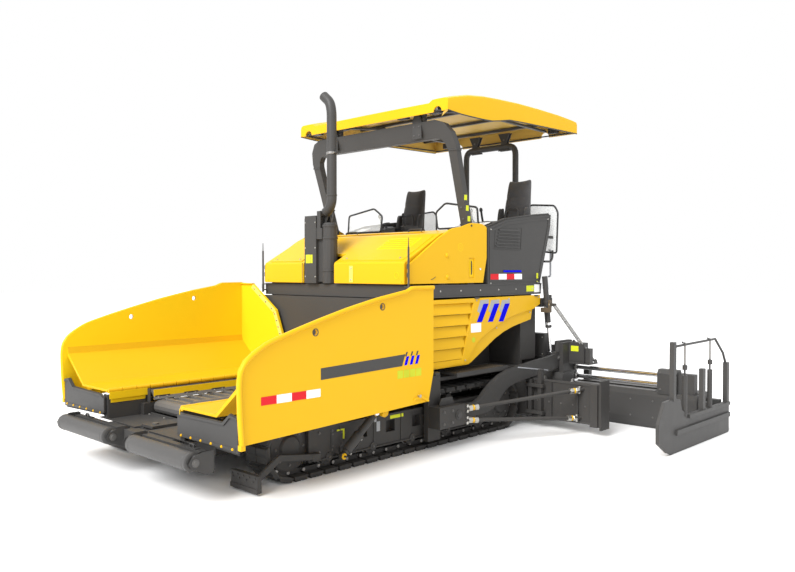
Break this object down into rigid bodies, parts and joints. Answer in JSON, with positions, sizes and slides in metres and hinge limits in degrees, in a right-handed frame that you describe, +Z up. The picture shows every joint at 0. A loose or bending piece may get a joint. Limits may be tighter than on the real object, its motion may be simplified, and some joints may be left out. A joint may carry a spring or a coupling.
{
  "type": "tracked asphalt paver",
  "caption": "Tracked asphalt paver with folding hopper wings, twin push rollers, canopy over two operator seats, hinged engine flaps, augers and a tow-arm screed with sliding extensions",
  "frame": {"origin": "on the ground, under the middle of the bounding box of the whole machine", "axes": "+X is the machine's left side, +Y points to its rear (the screed), +Z is up; it drives toward -Y"},
  "size_m": [6.626, 6.095, 4.0289],
  "materials": {
    "yellow_paint": "satin",
    "dark_paint": "satin",
    "rubber_pads": "matte",
    "worn_steel": "worn",
    "chrome_rod": "polished",
    "clear_sheet": "clear",
    "seat_cloth": "woven"
  },
  "bodies": {
    "tractor": {"auger_drive": "dark_paint", "auger_tunnel_l": "dark_paint", "auger_tunnel_r": "dark_paint", "canopy": "yellow_paint", "console_l": "dark_paint", "console_r": "dark_paint", "conveyor": "worn_steel", "engine_block": "dark_paint", "engine_hood": "yellow_paint", "exhaust_box": "dark_paint", "front_bulkhead": "dark_paint", "front_hoop": "dark_paint", "main_frame": "dark_paint", "platform": "dark_paint", "rear_frame_l": "dark_paint", "rear_frame_r": "dark_paint", "rear_hoop": "dark_paint", "screen_front_l": "clear_sheet", "screen_front_r": "clear_sheet", "screen_rear_l": "clear_sheet", "screen_rear_r": "clear_sheet", "seat_l": "seat_cloth", "seat_r": "seat_cloth", "tow_point_l": "dark_paint", "tow_point_r": "dark_paint", "track_frame_l": "dark_paint", "track_frame_r": "dark_paint", "track_l": "rubber_pads", "track_r": "rubber_pads"},
    "hopper_wing_l": {"wing_l": "yellow_paint", "apron_l": "dark_paint"},
    "wing_cylinder_l": {"wing_barrel_l": "dark_paint"},
    "wing_piston_l": {"wing_rod_l": "chrome_rod"},
    "roller_l": {"push_roller_l": "dark_paint"},
    "engine_flap_l": {"hood_door_l": "yellow_paint"},
    "side_flap_l": {"side_door_l": "yellow_paint"},
    "auger_shaft_l": {"auger_l": "worn_steel"},
    "extension_l": {"screed_extension_l": "dark_paint", "end_gate_l": "dark_paint"},
    "lift_cylinder_l": {"lift_barrel_l": "dark_paint"},
    "lift_piston_l": {"lift_rod_l": "chrome_rod"},
    "hopper_wing_r": {"wing_r": "yellow_paint", "apron_r": "dark_paint"},
    "wing_cylinder_r": {"wing_barrel_r": "dark_paint"},
    "wing_piston_r": {"wing_rod_r": "chrome_rod"},
    "roller_r": {"push_roller_r": "dark_paint"},
    "engine_flap_r": {"hood_door_r": "yellow_paint"},
    "side_flap_r": {"side_door_r": "yellow_paint"},
    "auger_shaft_r": {"auger_r": "worn_steel"},
    "extension_r": {"screed_extension_r": "dark_paint", "end_gate_r": "dark_paint"},
    "lift_cylinder_r": {"lift_barrel_r": "dark_paint"},
    "lift_piston_r": {"lift_rod_r": "chrome_rod"},
    "push_beam_body": {"push_beam": "dark_paint"},
    "stack": {"exhaust_stack": "dark_paint"},
    "screed": {"tow_arm_l": "dark_paint", "tow_arm_r": "dark_paint", "screed_main": "dark_paint"}
  },
  "joints": [
    {"name": "wing_fold_l", "type": "hinge", "parent": "tractor", "child": "hopper_wing_l", "pos_m": [0.7, -1.6, 0.72], "axis": [0, -1, 0], "range_deg": [0, 45]},
    {"name": "wing_cyl_swing_l", "type": "hinge", "parent": "tractor", "child": "wing_cylinder_l", "pos_m": [1.33, -1.42, 0.167], "axis": [0.9618, -0.2411, 0.1296], "range_deg": [0, 24.3]},
    {"name": "wing_cyl_stroke_l", "type": "slide", "parent": "wing_cylinder_l", "child": "wing_piston_l", "axis": [0.091, 0.7283, 0.6792], "range_m": [0, 0.44633]},
    {"name": "roller_spin_l", "type": "hinge", "parent": "push_beam_body", "child": "roller_l", "pos_m": [0.723, -2.97, 0.37], "axis": [1, 0, 0], "continuous": true},
    {"name": "hood_door_swing_l", "type": "hinge", "parent": "tractor", "child": "engine_flap_l", "pos_m": [1.236, -0.39, 1.9], "axis": [0, 0, -1], "range_deg": [0, 85]},
    {"name": "side_door_swing_l", "type": "hinge", "parent": "tractor", "child": "side_flap_l", "pos_m": [1.2275, -0.33, 1.2], "axis": [0, 0, -1], "range_deg": [0, 88]},
    {"name": "auger_spin_l", "type": "hinge", "parent": "tractor", "child": "auger_shaft_l", "pos_m": [1.1, 2, 0.42], "axis": [1, 0, 0], "continuous": true},
    {"name": "extension_slide_l", "type": "slide", "parent": "screed", "child": "extension_l", "axis": [-1, 0, 0], "range_m": [0, 0.8]},
    {"name": "lift_cyl_swing_l", "type": "hinge", "parent": "tractor", "child": "lift_cylinder_l", "pos_m": [1.3, 2.17, 1.52], "axis": [1, 0, 0], "range_deg": [-7.26, 0]},
    {"name": "lift_cyl_stroke_l", "type": "slide", "parent": "lift_cylinder_l", "child": "lift_piston_l", "axis": [0, 0.1439, -0.9896], "range_m": [-0.30378, 0]},
    {"name": "wing_fold_r", "type": "hinge", "parent": "tractor", "child": "hopper_wing_r", "pos_m": [-0.7, -1.6, 0.72], "axis": [0, 1, 0], "range_deg": [0, 45]},
    {"name": "wing_cyl_swing_r", "type": "hinge", "parent": "tractor", "child": "wing_cylinder_r", "pos_m": [-1.33, -1.42, 0.167], "axis": [0.9618, 0.2411, -0.1296], "range_deg": [0, 24.3]},
    {"name": "wing_cyl_stroke_r", "type": "slide", "parent": "wing_cylinder_r", "child": "wing_piston_r", "axis": [-0.091, 0.7283, 0.6792], "range_m": [0, 0.44633]},
    {"name": "roller_spin_r", "type": "hinge", "parent": "push_beam_body", "child": "roller_r", "pos_m": [-0.723, -2.97, 0.37], "axis": [1, 0, 0], "continuous": true},
    {"name": "hood_door_swing_r", "type": "hinge", "parent": "tractor", "child": "engine_flap_r", "pos_m": [-1.236, -0.39, 1.9], "axis": [0, 0, 1], "range_deg": [0, 85]},
    {"name": "side_door_swing_r", "type": "hinge", "parent": "tractor", "child": "side_flap_r", "pos_m": [-1.2275, -0.33, 1.2], "axis": [0, 0, 1], "range_deg": [0, 88]},
    {"name": "auger_spin_r", "type": "hinge", "parent": "tractor", "child": "auger_shaft_r", "pos_m": [-1.1, 2, 0.42], "axis": [1, 0, 0], "continuous": true},
    {"name": "extension_slide_r", "type": "slide", "parent": "screed", "child": "extension_r", "axis": [1, 0, 0], "range_m": [0, 0.8]},
    {"name": "lift_cyl_swing_r", "type": "hinge", "parent": "tractor", "child": "lift_cylinder_r", "pos_m": [-1.3, 2.17, 1.52], "axis": [1, 0, 0], "range_deg": [-7.26, 0]},
    {"name": "lift_cyl_stroke_r", "type": "slide", "parent": "lift_cylinder_r", "child": "lift_piston_r", "axis": [0, 0.1439, -0.9896], "range_m": [-0.30378, 0]},
    {"name": "push_beam_swing", "type": "hinge", "parent": "tractor", "child": "push_beam_body", "pos_m": [0, -2.62, 0.35], "axis": [0, 0, 1], "range_deg": [-5, 5]},
    {"name": "stack_fold", "type": "hinge", "parent": "tractor", "child": "stack", "pos_m": [-0.16, -0.35, 2.6], "axis": [0, -1, 0], "range_deg": [0, 88]},
    {"name": "screed_lift", "type": "hinge", "parent": "tractor", "child": "screed", "pos_m": [0, 0.12, 0.37], "axis": [1, 0, 0], "range_deg": [0, 8]}
  ],
  "couplings": [
    {"joint": "wing_cyl_swing_l", "follows": "wing_fold_l", "ratio": 0.5346},
    {"joint": "wing_cyl_stroke_l", "follows": "wing_fold_l", "m_per_rad": 0.56266},
    {"joint": "lift_cyl_swing_l", "follows": "screed_lift", "ratio": -0.89912},
    {"joint": "lift_cyl_stroke_l", "follows": "screed_lift", "m_per_rad": -2.1542},
    {"joint": "wing_cyl_swing_r", "follows": "wing_fold_r", "ratio": 0.5346},
    {"joint": "wing_cyl_stroke_r", "follows": "wing_fold_r", "m_per_rad": 0.56266},
    {"joint": "lift_cyl_swing_r", "follows": "screed_lift", "ratio": -0.89912},
    {"joint": "lift_cyl_stroke_r", "follows": "screed_lift", "m_per_rad": -2.1542}
  ]
}
